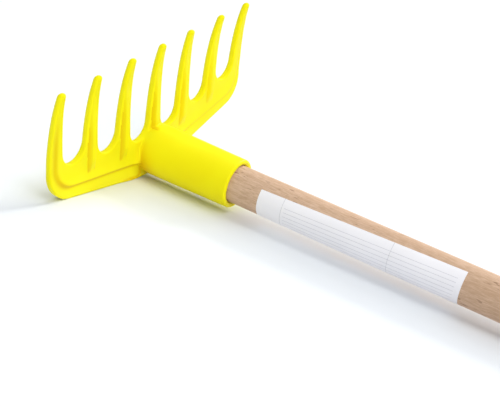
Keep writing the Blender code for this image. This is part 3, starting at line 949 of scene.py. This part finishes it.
@dataclass
class MouldedHead:
    """The head: plate, tines, ribs, recessed band and socket in one moulding.

    Attributes:
        lying: The tool's place.
        folds: The painted shade in the folds.
        tine_count: Number of tines.
        pitch: From tine to tine.
        top: Height of the tips.
        root_height: Height above which a tine narrows.
        root_width: Width of a tine at its root.
        tip_width: Width at its tip.
        tip_depth: Depth, back to front, at its tip.
        lean: How far a tine leans back.
        hook: How far its tip then hooks forwards.
        sways: How far each tip stands to the side of its tine's root.
        bend_start: Height at which the bend starts.
        gap_height: Lowest point of the line of gaps, at the middle.
        gap_slope: Slope of that line.
        arm_drop: How far the lower edge lies below the stick's axis, at the middle.
        arm_slope: Slope of the lower edge.
        apex_radius: Rounding of the lower edge at the middle.
        corner_radius: Rounding of the head's two lower corners.
        back_shift: How far the plate's back lies in front of the socket's end plane.
        depth: Depth of the plate.
        foot_depth: How much deeper the plate gets towards its lower edge.
        foot_reach: Height above that edge from which it does.
        outer_side: Half width of an outer tine on its outer side, at its root.
        front_round: Rounding of the front edges.
        tip_round: Rounding of the front edges at the tips.
        tip_round_start: Height from which they get that rounding.
        back_round: Rounding of the back edges.
        step_height: Height of the step above the recessed band, at the middle.
        step_slope: Slope of the step.
        band_depth: Depth of the plate within the band.
        band_corner: Radius of the step's two corners.
        band_offset: How far the step lies outside the middle line of an outer tine.
        step_width: Width over which the step falls along the lower edge.
        soft_step_width: Width over which it falls at the corners and up the outer tines.
        soft_reach: Distance from an outer tine over which it gets there.
        overhang: How far the panel's lower edge stands out.
        panel_top: How far below the gaps the panel starts to slope out.
        pad_half_width: How far the pad at the socket reaches to each side.
        pad_height: Height of the pad and of the rim that runs out of it.
        pad_edge: Half the width over which it falls at its edge.
        pad_corner: Radius of the recess's end.
        pad_rim: Width of the rim.
        rim_fade: Distances from the middle at which the rim has faded out, and at which it is full.
        rib_half_width: Half the width of a rib's top.
        rib_wall: Width over which a rib's long side falls, towards the left arm.
        rib_back_wall: Width over which its short side falls.
        rib_ledge: Least width left between a rib's side and the tine's.
        rib_height: Height of a rib.
        rib_foot: How far a rib's foot lies below the gaps.
        rib_run: Length over which a rib rises at its foot.
        rib_fade: Heights at which a rib has faded out, and at which it is full.
        wing_height: How far the panel's lower corners curl out beside the socket.
        wing_reach: Distances from the middle at which the curl starts, and at which it is full.
        wing_rise: Height above the step over which they do.
        socket_length: From the head's back to the socket's mouth.
        socket_root: Socket's radius at the plate.
        socket_mouth: Its radius at the mouth.
        socket_fillet: Radius of the fillet at the plate.
        neck_depth: How much narrower the socket is where it leaves the plate.
        neck_length: Length of that neck.
        mouth_round: Rounding of the mouth's outer edge.
        bore_radius: Radius of the bore.
        bore_floor: How far the bore's floor lies behind the head's back.
        bore_edge: Rounding of the bore's edge.
        screw_place: Where the screw sits, behind the head's back.
        screw_radius: Radius of the screw's place at the surface.
        screw_taper: How fast that place narrows inwards.
        screw_sink: Depth of that place.
        cell: Spacing of the grid on the plate.
        margin_cells: Width of the grid's empty margin, in cells.
        long_cell: Spacing along the plain tube.
        mouth_run: Length at the mouth that has the plate's spacing.
        root_runs: Distances behind the head's back within which the spacing is finer, and then finest.
        broad_reach: How far off the surface a broad hollow is still felt, for its painted shade.
    """

    lying: Lying
    folds: PaintedFoldShade = PaintedFoldShade()
    tine_count: int = 7
    pitch: float = 0.0285
    top: float = 0.0660
    root_height: float = 0.018
    root_width: float = 0.0108
    tip_width: float = 0.0049
    tip_depth: float = 0.0038
    lean: float = 0.0018
    hook: float = 0.0054
    sways: tuple[float, ...] = (0.00016, 0.0, 0.0008, -0.0006, -0.0018, 0.0012, 0.0)
    bend_start: float = 0.012
    gap_height: float = 0.0074
    gap_slope: float = 9.45
    arm_drop: float = 0.01816
    arm_slope: float = 13.4
    apex_radius: float = 0.010
    corner_radius: float = 0.0138
    back_shift: float = 0.0005
    depth: float = 0.0047
    foot_depth: float = 0.0013
    foot_reach: float = 0.018
    outer_side: float = 0.00472
    front_round: float = 0.0008
    tip_round: float = 0.0018
    tip_round_start: float = 0.040
    back_round: float = 0.0019
    step_height: float = -0.0071
    step_slope: float = 10.9
    band_depth: float = 0.0040
    band_corner: float = 0.0120
    band_offset: float = 0.0009
    step_width: float = 0.0006
    soft_step_width: float = 0.0018
    soft_reach: float = 0.016
    overhang: float = 0.0003
    panel_top: float = 0.0024
    pad_half_width: float = 0.0128
    pad_height: float = 0.0006
    pad_edge: float = 0.0003
    pad_corner: float = 0.0036
    pad_rim: float = 0.0013
    rim_fade: Pair = (0.034, 0.020)
    rib_half_width: float = 0.0012
    rib_wall: float = 0.0029
    rib_back_wall: float = 0.0008
    rib_ledge: float = 0.0009
    rib_height: float = 0.0015
    rib_foot: float = 0.0060
    rib_run: float = 0.0080
    rib_fade: Pair = (0.050, 0.027)
    wing_height: float = 0.0015
    wing_reach: Pair = (0.0215, 0.0135)
    wing_rise: float = 0.0100
    socket_length: float = 0.0641
    socket_root: float = 0.0152
    socket_mouth: float = 0.01435
    socket_fillet: float = 0.0008
    neck_depth: float = 0.0008
    neck_length: float = 0.0070
    mouth_round: float = 0.0014
    bore_radius: float = 0.0113
    bore_floor: float = 0.0065
    bore_edge: float = 0.0015
    screw_place: float = 0.041
    screw_radius: float = 0.0037
    screw_taper: float = 0.75
    screw_sink: float = 0.0025
    cell: float = 0.00056
    margin_cells: float = 3.0
    long_cell: float = 0.0030
    mouth_run: float = 0.004
    root_runs: Pair = (0.0140, 0.0105)
    broad_reach: float = 0.0065

    @property
    def outer_tine(self) -> float:
        """Distance from the middle to an outer tine's middle line."""
        return (self.tine_count - 1) / 2 * self.pitch

    @property
    def half_width(self) -> float:
        """Half the head's width."""
        return self.outer_tine + self.outer_side

    @property
    def tip_radius(self) -> float:
        """Radius of a tip, seen from the front."""
        return self.tip_width / 2

    @property
    def tip_centre(self) -> float:
        """Height of the middle of a tip's round."""
        return self.top - self.tip_radius

    @property
    def taper(self) -> float:
        """How fast half a tine's width shrinks with height."""
        return (self.root_width / 2 - self.tip_radius) / (self.tip_centre - self.root_height)

    def straightened(self, x: Array, z: Array) -> Array:
        """Where x would be if the tines stood straight: x - sway * s^2, s rising from the root to the tip.

        Args:
            x: Places along the head.
            z: Heights.

        Returns:
            The places along a head with straight tines.
        """
        middles = np.linspace(-self.outer_tine, self.outer_tine, self.tine_count)
        s = np.maximum(z - self.root_height, 0.0) / (self.top - self.root_height)
        return x - np.interp(x, middles, self.sways) * s**2

    def tine_half_width(self, z: Array) -> Array:
        """Half a tine's width: tip radius + taper * (tip centre - z), with z held above the root."""
        return self.tip_radius + self.taper * (self.tip_centre - np.maximum(z, self.root_height))

    def gap_line(self, x: Array) -> Array:
        """Height of the line of gaps at x: it rises evenly to both sides."""
        return self.gap_height + np.abs(x) * math.tan(math.radians(self.gap_slope))

    def edge_line(self, x: Array) -> Array:
        """Height of the lower edge at x: it rises evenly to both sides."""
        return np.abs(x) * math.tan(math.radians(self.arm_slope)) - self.arm_drop

    def above_edge(self, x: Array, z: Array) -> Array:
        """Distance to what lies above the lower edge, its middle rounded.

        It is the rounded overlap of two half-planes, one for each arm, both sloping down to the middle.

        Args:
            x: Places along the head.
            z: Heights.

        Returns:
            The distance, negative above the edge.
        """
        slope = math.radians(self.arm_slope)
        rise = (-self.arm_drop - z) * math.cos(slope)
        right, left = rise + x * math.sin(slope), rise - x * math.sin(slope)
        return rounded_overlap(right, left, self.apex_radius)

    def front_shape(self, x: Array, z: Array) -> Array:
        """Distance to the head's outline as seen from the front.

        A tine is what lies within its tapering half width, with a round tip. Between two tines the web fills
        what lies below the middle of the gap's round and outside that round. Both are kept above the lower
        edge and between the two sides, whose corners are rounded.

        Args:
            x: Places along the head.
            z: Heights.

        Returns:
            The distance, negative within the outline.
        """
        most = (self.tine_count - 1) / 2
        middle = np.clip(np.round(x / self.pitch), -most, most) * self.pitch
        off = np.abs(x - middle)
        side = (off - self.tine_half_width(z)) * math.cos(math.atan(self.taper))
        tip = np.hypot(off, z - self.tip_centre) - self.tip_radius
        tine = np.where(z > self.tip_centre, tip, side)
        gap = np.clip(np.floor(x / self.pitch) + 0.5, 0.5 - most, most - 0.5) * self.pitch
        floor = self.gap_line(gap)
        at_floor = self.tip_radius + self.taper * (self.tip_centre - floor)
        radius = (self.pitch / 2 - at_floor) / (1.0 - self.taper)
        centre = floor + radius
        web = np.maximum(z - centre, radius - np.hypot(x - gap, z - centre))
        web = np.maximum(web, np.abs(x - gap) - self.pitch / 2)
        outline = rounded_overlap(self.above_edge(x, z), np.abs(x) - self.half_width, self.corner_radius)
        return np.maximum(outline, np.minimum(tine, web))

    def bend(self, z: Array) -> Array:
        """Share of the bend's height that lies below z: 0 up to its start, then evenly to 1 at the tips."""
        return np.maximum((z - self.bend_start) / (self.top - self.bend_start), 0.0)

    def back(self, z: Array) -> Array:
        """Where the back stands: lean * s - hook * s^3 - shift, s being the share of the bend below z."""
        return self.lean * self.bend(z) - self.hook * self.bend(z) ** 3 - self.back_shift

    def plain_depth(self, z: Array) -> Array:
        """Depth of the plate and of the tines at height z: it changes evenly over the bend."""
        return self.depth + (self.tip_depth - self.depth) * self.bend(z)

    def inner_middle(self, x: Array) -> Array:
        """Middle line of the nearest inner tine."""
        inner = (self.tine_count - 3) / 2
        return np.clip(np.round(x / self.pitch), -inner, inner) * self.pitch

    def rib_foot_line(self, x: Array) -> Array:
        """Height at which the nearest inner tine's rib starts."""
        nearer_gap = np.maximum(np.abs(self.inner_middle(x)) - self.pitch / 2, 0.0)
        return self.gap_line(nearer_gap) - self.rib_foot

    def rib_rise(self, x: Array, z: Array) -> Array:
        """How far up a rib's side a place lies.

        Args:
            x: Places along the head.
            z: Heights.

        Returns:
            0 at the side's foot and beyond, rising evenly to 1 on the rib's top.
        """
        outer = np.minimum(self.rib_half_width + self.rib_wall, self.tine_half_width(z) - self.rib_ledge)
        off = x - self.inner_middle(x)
        long_side = (outer + off) / (outer - self.rib_half_width)
        short_side = (self.rib_half_width + self.rib_back_wall - off) / self.rib_back_wall
        return np.clip(np.minimum(long_side, short_side), 0.0, 1.0)

    def rib(self, x: Array, z: Array) -> Array:
        """Height of a rib: it rises at its foot, fades out above and falls aside as sin(pi u / 2)."""
        along = ease(0.0, self.rib_run, z - self.rib_foot_line(x)) * ease(*self.rib_fade, z)
        return self.rib_height * along * np.sin(np.pi / 2.0 * self.rib_rise(x, z))

    def beyond_step(self, x: Array, z: Array) -> Array:
        """Distance to the raised face, which lies above the step and between the outer tines' lines.

        Args:
            x: Places along the head.
            z: Heights.

        Returns:
            The distance, negative within the raised face.
        """
        slope = math.radians(self.step_slope)
        above = (self.step_height - z) * math.cos(slope) + np.abs(x) * math.sin(slope)
        side = np.abs(x) - self.outer_tine - self.band_offset
        return rounded_overlap(above, side, self.band_corner)

    def outwards(self, x: Array) -> Array:
        """0 along the arms, rising to 1 at the outer tines."""
        return ease(self.outer_tine - self.soft_reach, self.outer_tine, np.abs(x))

    def band(self, x: Array, z: Array) -> Array:
        """How far down the step a place lies: 0 on the raised face, 1 in the recessed band."""
        width = self.step_width + (self.soft_step_width - self.step_width) * self.outwards(x)
        return ease(-width / 2.0, width / 2.0, self.beyond_step(x, z))

    def beyond_pad(self, x: Array, z: Array) -> Array:
        """Distance to the pad beside the socket and the rim along the lower edge, joined by a fillet.

        Args:
            x: Places along the head.
            z: Heights.

        Returns:
            The distance, negative on the pad and the rim.
        """
        block = np.abs(x) - self.pad_half_width
        strip = (z - self.edge_line(x) - self.pad_rim) * math.cos(math.radians(self.arm_slope))
        return filleted_union(block, strip, self.pad_corner)

    def pad(self, x: Array, z: Array) -> Array:
        """Height of the pad beside the socket and of the rim that fades out of it."""
        fade = ease(*self.rim_fade, np.abs(x))
        return self.pad_height * ease(self.pad_edge, -self.pad_edge, self.beyond_pad(x, z)) * fade

    def front_depth(self, x: Array, z: Array) -> Array:
        """Depth of the front: the raised face, which slopes out to the step, or the band's floor.

        Args:
            x: Places along the head.
            z: Heights.

        Returns:
            How far the front stands before the back.
        """
        step = self.step_height + np.abs(x) * math.tan(math.radians(self.step_slope))
        raised_from = self.gap_line(x) - self.panel_top
        fall = np.clip((raised_from - z) / (raised_from - step), 0.0, 1.0)
        side = np.clip((self.outer_tine - np.abs(x)) / (self.pitch / 2), 0.0, 1.0)
        foot = self.foot_depth * ease(self.foot_reach, 0.0, z - self.edge_line(x))
        plain = self.plain_depth(z) + foot
        wing = ease(*self.wing_reach, np.abs(x)) * ease(step + self.wing_rise, step, z)
        raised = plain + self.overhang * fall * side + self.rib(x, z) + self.wing_height * wing
        low = np.minimum(self.band_depth + foot + self.pad(x, z), plain)
        return raised + (low - raised) * self.band(x, z)

    def step_shade(self, x: Array, z: Array) -> Array:
        """Painted shade along the step, where its shadow falls: a bell curve of the distance to its darkest
        line.

        It gets wider and fainter at the outer tines, fades out up them and is fainter on the right arm.

        Args:
            x: Places along the head.
            z: Heights.

        Returns:
            The shade, 0 to 1.
        """
        folds, outwards = self.folds, self.outwards(x)
        width = folds.step_spread + folds.step_widening * outwards
        line = bell(self.beyond_step(x, z) - folds.step_place, width)
        line = line * (1.0 - folds.outer_loss * outwards * ease(*folds.outer_heights, z))
        return line * ease(*folds.step_end, z) * to_right(x, *folds.step_right)

    def rib_shade(self, x: Array, z: Array) -> Array:
        """Painted shade on a rib's sides: it falls from a side's foot to the rib's top, and is fainter to
        the right.

        Args:
            x: Places along the head.
            z: Heights.

        Returns:
            The shade, 0 to 1.
        """
        folds, rise = self.folds, self.rib_rise(x, z)
        wall = np.where(rise > 0.0, (1.0 - rise) ** folds.rib_power, 0.0)
        wall = wall * ease(0.0, folds.rib_start, z - self.rib_foot_line(x)) * ease(*self.rib_fade, z)
        return folds.rib * wall * to_right(x, *folds.rib_right)

    def rim_shade(self, x: Array, z: Array) -> Array:
        """Painted shade along the edge of pad and rim, below the step: a bell curve of the distance to it.

        Args:
            x: Places along the head.
            z: Heights.

        Returns:
            The shade, 0 to 1.
        """
        folds = self.folds
        rim = bell(self.beyond_pad(x, z), folds.rim_spread) * ease(*self.rim_fade, np.abs(x))
        return folds.rim * rim * ease(*folds.rim_below, self.beyond_step(x, z))

    def painted_fold_shades(self, points: Array) -> Array:
        """Painted shade: how far the colour darkens in the front's folds, and under the socket where it
        leaves the plate.

        Args:
            points: Points on the surface, one row each.

        Returns:
            0 on plain ground to 1 in the darkest fold.
        """
        x, y, z = points.T
        x = self.straightened(x, z)
        folds, from_back = self.folds, self.back(z) - y
        before = from_back - self.depth
        front = ease(*(share * self.band_depth for share in folds.behind), from_back)
        front = front * ease(*folds.ahead, before)
        shades = (self.step_shade(x, z), self.rib_shade(x, z), self.rim_shade(x, z))
        root = ease(folds.root_length, 0.0, before) * ease(*folds.root_heights, z)
        root = folds.root * root * ease(*folds.root_start, before)
        return np.maximum(front * np.maximum.reduce(shades), root)

    def blade(self, x: Array, y: Array, z: Array) -> Array:
        """Distance to plate and tines: the outline, pushed from back to front, with rounded edges.

        Args:
            x: Places along the head.
            y: Places along the stick.
            z: Heights.

        Returns:
            The distance, negative inside.
        """
        x, from_back = self.straightened(x, z), self.back(z) - y
        behind = rounded_overlap(self.front_shape(x, z), -from_back, self.back_round)
        up = ease(self.tip_round_start, self.tip_centre, z)
        front_round = self.front_round + (self.tip_round - self.front_round) * up
        return rounded_overlap(behind, from_back - self.front_depth(x, z), front_round)

    def tube(self, y: Array, r: Array) -> Array:
        """Distance to the socket without its bore: a cone with a rounded mouth, narrower at its neck.

        Args:
            y: Places along the stick.
            r: Distances from its axis.

        Returns:
            The distance, negative inside.
        """
        beyond = -y - self.depth
        share = np.clip(beyond / (self.socket_length - self.depth), 0.0, 1.0)
        neck = np.clip(1.0 - beyond / self.neck_length, 0.0, 1.0)
        radius = self.socket_root + (self.socket_mouth - self.socket_root) * share
        outer = r - (radius - self.neck_depth * neck**2)
        outer = rounded_overlap(outer, -self.socket_length - y, self.mouth_round)
        return np.maximum(outer, y + self.depth / 2)

    def screw_hole(self, x: Array, y: Array, z: Array) -> Array:
        """Distance to the screw's place: a short cone under the socket that narrows inwards.

        Args:
            x: Places along the head.
            y: Places along the stick.
            z: Heights.

        Returns:
            The distance, negative inside.
        """
        below = -z - self.socket_mouth
        off = np.hypot(x, y + self.screw_place)
        cone = off - self.screw_radius - np.minimum(below, 0.0) * self.screw_taper
        outer_end = -z - self.socket_root - self.screw_sink
        return np.maximum.reduce((cone, z, outer_end, -below - self.screw_sink))

    def distance(self, x: Array, y: Array, z: Array) -> Array:
        """Distance to the whole moulding: blade and tube, filleted, less the bore and the screw's place.

        Args:
            x: Places along the head.
            y: Places along the stick.
            z: Heights.

        Returns:
            The distance, negative inside.
        """
        r = np.hypot(x, z)
        whole = filleted_union(self.blade(x, y, z), self.tube(y, r), self.socket_fillet)
        bore = np.maximum(r - self.bore_radius, y + self.bore_floor)
        whole = rounded_overlap(whole, -bore, self.bore_edge)
        return np.maximum(whole, -self.screw_hole(x, y, z))

    def grid(self) -> tuple[Array, Array, Array]:
        """Grid lines for the moulding, fine on the plate, at the screw and at the mouth.

        Returns:
            Their places along X, Y and Z.
        """
        margin = self.margin_cells * self.cell
        side = self.half_width + margin
        mouth, screw = -self.socket_length, -self.screw_place
        near, far = screw + self.screw_radius + margin, screw - self.screw_radius - margin
        rough, fine = self.root_runs
        along_stick = stops(
            (mouth - margin, mouth + self.mouth_run, self.cell),
            (mouth + self.mouth_run, far, self.long_cell),
            (far, near, self.cell),
            (near, -rough, self.long_cell),
            (-rough, -fine, 2.0 * self.cell),
            (-fine, margin, self.cell),
        )
        upwards = stops((-self.arm_drop - margin, self.top + margin, self.cell))
        return stops((-side, side, self.cell)), along_stick, upwards

    def build(self, material: bpy.types.Material) -> bpy.types.Object:
        """Builds the moulding as one closed surface.

        Args:
            material: Its finish.

        Returns:
            The piece.
        """
        surface = LevelSurface(self.distance, *self.grid())
        points, faces = surface.build()
        piece = make_piece("moulded_head", self.lying.place(points), faces, material)
        # Painted shade: both values darken the colour where shadow falls, in the front's folds and in broad
        # hollows.
        shades = {"painted_fold_shade": self.painted_fold_shades(points), "hollow": surface.hollows(points, self.broad_reach)}
        for name, values in shades.items():
            layer = piece.data.attributes.new(name, "FLOAT", "POINT")
            layer.data.foreach_set("value", values.astype(np.float32))
        dress(piece, "rake_head")
        return piece


@dataclass
class Stick:
    """The beech stick: a turned stick with rounded ends and the slight unevenness of sanded wood.

    Attributes:
        lying: The tool's place.
        rings: Number of rings along it.
        around: Number of points round it.
        round_rings: Number of rings in the rounding of an end.
        face_rings: Number of rings on an end's flat, the point in its middle included.
        uneven: How much thinner it gets in places.
        waves: How fast the unevenness changes along it, in radians to a metre.
    """

    lying: Lying
    rings: int = 160
    around: int = 96
    round_rings: int = 7
    face_rings: int = 4
    uneven: float = 0.00006
    waves: Pair = (52.0, 17.0)

    def profile(self) -> Array:
        """The stick's half section, from one pole to the other.

        Returns:
            Rows of (radius, y).
        """
        r, e = self.lying.stick_radius, self.lying.end_round
        start, end = self.lying.stick_start, self.lying.stick_start + self.lying.stick_length
        rounding = np.linspace(0.0, np.pi / 2, self.round_rings)
        near = np.stack([r - e + e * np.sin(rounding), -start - e + e * np.cos(rounding)], -1)
        far = np.stack([r - e + e * np.cos(rounding), -end + e - e * np.sin(rounding)], -1)
        along = np.linspace(-start - e, -end + e, self.rings)[1:-1]
        sides = np.stack([np.full(len(along), r), along], -1)
        face = np.linspace(0.0, r - e, self.face_rings + 1)[:-1]
        start_cap = np.stack([face, np.full(len(face), -start)], -1)
        end_cap = np.stack([face[::-1], np.full(len(face), -end)], -1)
        return np.concatenate([start_cap, near, sides, far, end_cap])

    def build(self, material: bpy.types.Material) -> bpy.types.Object:
        """Builds the stick: radius(y, a) = r - uneven * (1 + sin(k y + a) * sin(m y)) / 2, its ends rounded.

        Args:
            material: Its finish.

        Returns:
            The piece.
        """
        points, faces = ring_surface(self.profile(), self.around)
        x, y, z = points.T
        wave = np.sin(self.waves[0] * y + np.arctan2(z, x)) * np.sin(self.waves[1] * y)
        points[:, ::2] *= (1.0 - self.uneven / self.lying.stick_radius * (1.0 + wave) / 2.0)[:, None]
        piece = make_piece("beech_stick", self.lying.place(points), faces, material)
        dress(piece, "handle")
        return piece


@dataclass
class StuckLabel:
    """The label: a thin sheet stuck round part of the stick, a little askew.

    Attributes:
        lying: The tool's place.
        start: From the head's back to the label.
        length: Its length.
        width: Its width, round the stick.
        thickness: Its thickness.
        lift: Its inner side's distance from the wood.
        top_angle: Where its upper edge starts, from the head's right-hand side towards the tips.
        skew: How far it is turned out of line.
        columns: Number of points along it.
        rows: Number of points across it.
        sharp: Angle between two faces from which their edge is sharp.
    """

    lying: Lying
    start: float = 0.0829
    length: float = LABEL_LENGTH
    width: float = 0.0260
    thickness: float = 0.00012
    lift: float = 0.00003
    top_angle: float = 131.5
    skew: float = 1.8
    columns: int = 121
    rows: int = 49
    sharp: float = 40.0

    def build(self, material: bpy.types.Material) -> bpy.types.Object:
        """Builds the sheet: point (u, v) lies at angle top - u tan(skew) / r + v / r on the stick.

        Args:
            material: Its finish.

        Returns:
            The piece.
        """
        u = np.linspace(0.0, self.length, self.columns)[:, None]
        v = np.linspace(0.0, self.width, self.rows)[None, :]
        r = self.lying.stick_radius + self.lift
        angle = math.radians(self.top_angle) + (v - u * math.tan(math.radians(self.skew))) / r
        y = np.broadcast_to(-self.start - u, angle.shape)
        radii = (r + self.thickness, r)
        sides = [np.stack([radius * np.cos(angle), y, radius * np.sin(angle)], -1) for radius in radii]
        points, faces = sheet_surface(*sides)
        piece = make_piece("stuck_label", self.lying.place(points), faces, material)
        mesh = piece.data
        flat = np.stack(np.broadcast_arrays(u, v), -1).reshape(-1, 2)
        corner = np.empty(len(mesh.loops), np.int32)
        mesh.loops.foreach_get("vertex_index", corner)
        layer = mesh.uv_layers.new(name=LABEL_MAP)
        layer.data.foreach_set("uv", flat[corner % len(flat)].astype(np.float32).ravel())
        mesh.set_sharp_from_angle(angle=math.radians(self.sharp))
        dress(piece, "label")
        return piece


@dataclass
class Screw:
    """The screw under the socket, which keeps its solid and gets a better finish.

    Attributes:
        node: The solid's name.
    """

    node: str = "fixing_screw"

    def build(self, material: bpy.types.Material) -> None:
        """Gives the solid its finish.

        Args:
            material: The finish.
        """
        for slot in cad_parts[self.node].material_slots:
            slot.material = material
        log.info("%s: its solid, with a new finish", self.node)


# Studio


def towards(azimuth: float, elevation: float) -> Vector:
    """Direction of length 1 to a place round the tool, (sin a cos e, -cos a cos e, sin e)."""
    a, e = math.radians(azimuth), math.radians(elevation)
    return Vector((math.sin(a) * math.cos(e), -math.cos(a) * math.cos(e), math.sin(e)))


@dataclass(frozen=True)
class Lamp:
    """A soft white lamp, far off.

    Attributes:
        name: Its name.
        azimuth: Its direction round the tool, 0 being behind the stick's far end.
        elevation: How high it stands, as an angle above the floor.
        strength: How strongly it shines, as a sun lamp's energy.
        softness: How wide it looks, as an angle.
    """

    name: str
    azimuth: float
    elevation: float
    strength: float
    softness: float

    def hang(self) -> None:
        """Hangs the lamp, shining at the tool."""
        data = bpy.data.lights.new(self.name, "SUN")
        data.energy = self.strength
        data.angle = math.radians(self.softness)
        lamp = bpy.data.objects.new(self.name, data)
        lamp.rotation_mode = "QUATERNION"
        lamp.rotation_quaternion = towards(self.azimuth, self.elevation).to_track_quat("Z", "Y")
        bpy.context.scene.collection.objects.link(lamp)


@dataclass
class Studio:
    """The pale floor, the soft lights and the camera.

    The camera was found by fitting the tool's sizes to the photograph. Its place and its angles are given in
    the tool's own frame: azimuth 0 looks along +Y, and roll turns the camera about its line of sight.

    Attributes:
        lying: The tool's place.
        camera_place: Where the camera stands.
        azimuth: Its direction round the tool.
        elevation: Its angle above the tool's own level.
        roll: Its turn about its line of sight.
        focal_pixels: Focal length in pixels of an image as wide as image_width.
        image_width: Width of the image in pixels.
        sensor: Width of the camera's sensor in millimetres.
        sight: Nearest and farthest distance that the camera sees.
        floor_half: Half the floor's width.
        floor_colour: The floor's colour.
        sky_colour: Colour of the even light from all sides.
        sky: Strength of that light.
        lamps: The soft lamps.
    """

    lying: Lying
    camera_place: Triple = (-0.4676, -0.3174, 0.3213)
    azimuth: float = -62.42
    elevation: float = 32.005
    roll: float = 8.55
    focal_pixels: float = 1109.9
    image_width: float = 500.0
    sensor: float = 36.0
    sight: Pair = (0.01, 100.0)
    floor_half: float = 40.0
    floor_colour: Triple = (0.790, 0.815, 0.850)
    sky_colour: Triple = (0.92, 0.97, 1.0)
    sky: float = 0.26
    lamps: tuple[Lamp, ...] = (
        Lamp("top", 140.0, 74.0, 0.50, 25.0),
        Lamp("behind", 175.0, 42.0, 0.28, 35.0),
        Lamp("high", -20.0, 68.0, 0.68, 30.0),
        Lamp("front", -56.0, 28.0, 0.40, 24.0),
        Lamp("middle", -25.0, 38.0, 0.94, 30.0),
        Lamp("side", 82.0, 31.0, 1.50, 13.0),
        Lamp("back", 90.0, 50.0, 0.70, 25.0),
    )

    def floor(self) -> None:
        """Lays the pale floor under the tool."""
        half = self.floor_half
        corners = [(-half, -half, 0.0), (half, -half, 0.0), (half, half, 0.0), (-half, half, 0.0)]
        mesh = bpy.data.meshes.new("floor")
        mesh.from_pydata(corners, [], [(0, 1, 2, 3)])
        constants = {"Base Color": self.floor_colour, "Roughness": 0.75, "Specular IOR Level": 0.15}
        mesh.materials.append(Finish("pale_floor", constants).material)
        plane = bpy.data.objects.new("floor", mesh)
        bpy.context.scene.collection.objects.link(plane)

    def light(self) -> None:
        """Sets the even light and hangs the lamps."""
        world = bpy.data.worlds.new("even_light")
        bpy.context.scene.world = world
        world.use_nodes = True
        sky = world.node_tree.nodes["Background"]
        sky.inputs["Color"].default_value = (*self.sky_colour, 1.0)
        sky.inputs["Strength"].default_value = self.sky
        for lamp in self.lamps:
            lamp.hang()

    def camera(self) -> None:
        """Stands the camera where the photograph was taken from."""
        data = bpy.data.cameras.new("camera")
        data.sensor_fit = "HORIZONTAL"
        data.sensor_width = self.sensor
        data.lens = self.focal_pixels / self.image_width * self.sensor
        data.clip_start, data.clip_end = self.sight
        azimuth, roll = math.radians(self.azimuth), math.radians(self.roll)
        back = towards(self.azimuth, self.elevation)
        level = Vector((math.cos(azimuth), math.sin(azimuth), 0.0))
        right = level * math.cos(roll) + back.cross(level) * math.sin(roll)
        axes = Matrix((right, back.cross(right), back)).transposed().to_4x4()
        camera = bpy.data.objects.new("camera", data)
        camera.matrix_world = self.lying.matrix() @ Matrix.Translation(self.camera_place) @ axes
        bpy.context.scene.collection.objects.link(camera)
        bpy.context.scene.camera = camera


def main() -> None:
    """Builds the stage and every piece, in order."""
    logging.basicConfig(level=logging.INFO, format="%(name)s: %(message)s")
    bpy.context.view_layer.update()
    bpy.context.scene.view_settings.view_transform = "Standard"
    lying = Lying()
    studio = Studio(lying)
    studio.camera()
    studio.floor()
    studio.light()
    MouldedHead(lying).build(MouldedPlastic().material())
    Stick(lying).build(Beech().material())
    StuckLabel(lying).build(RuledPaper().material())
    Screw().build(ZincPlate().material())


if __name__ == "__main__":
    main()
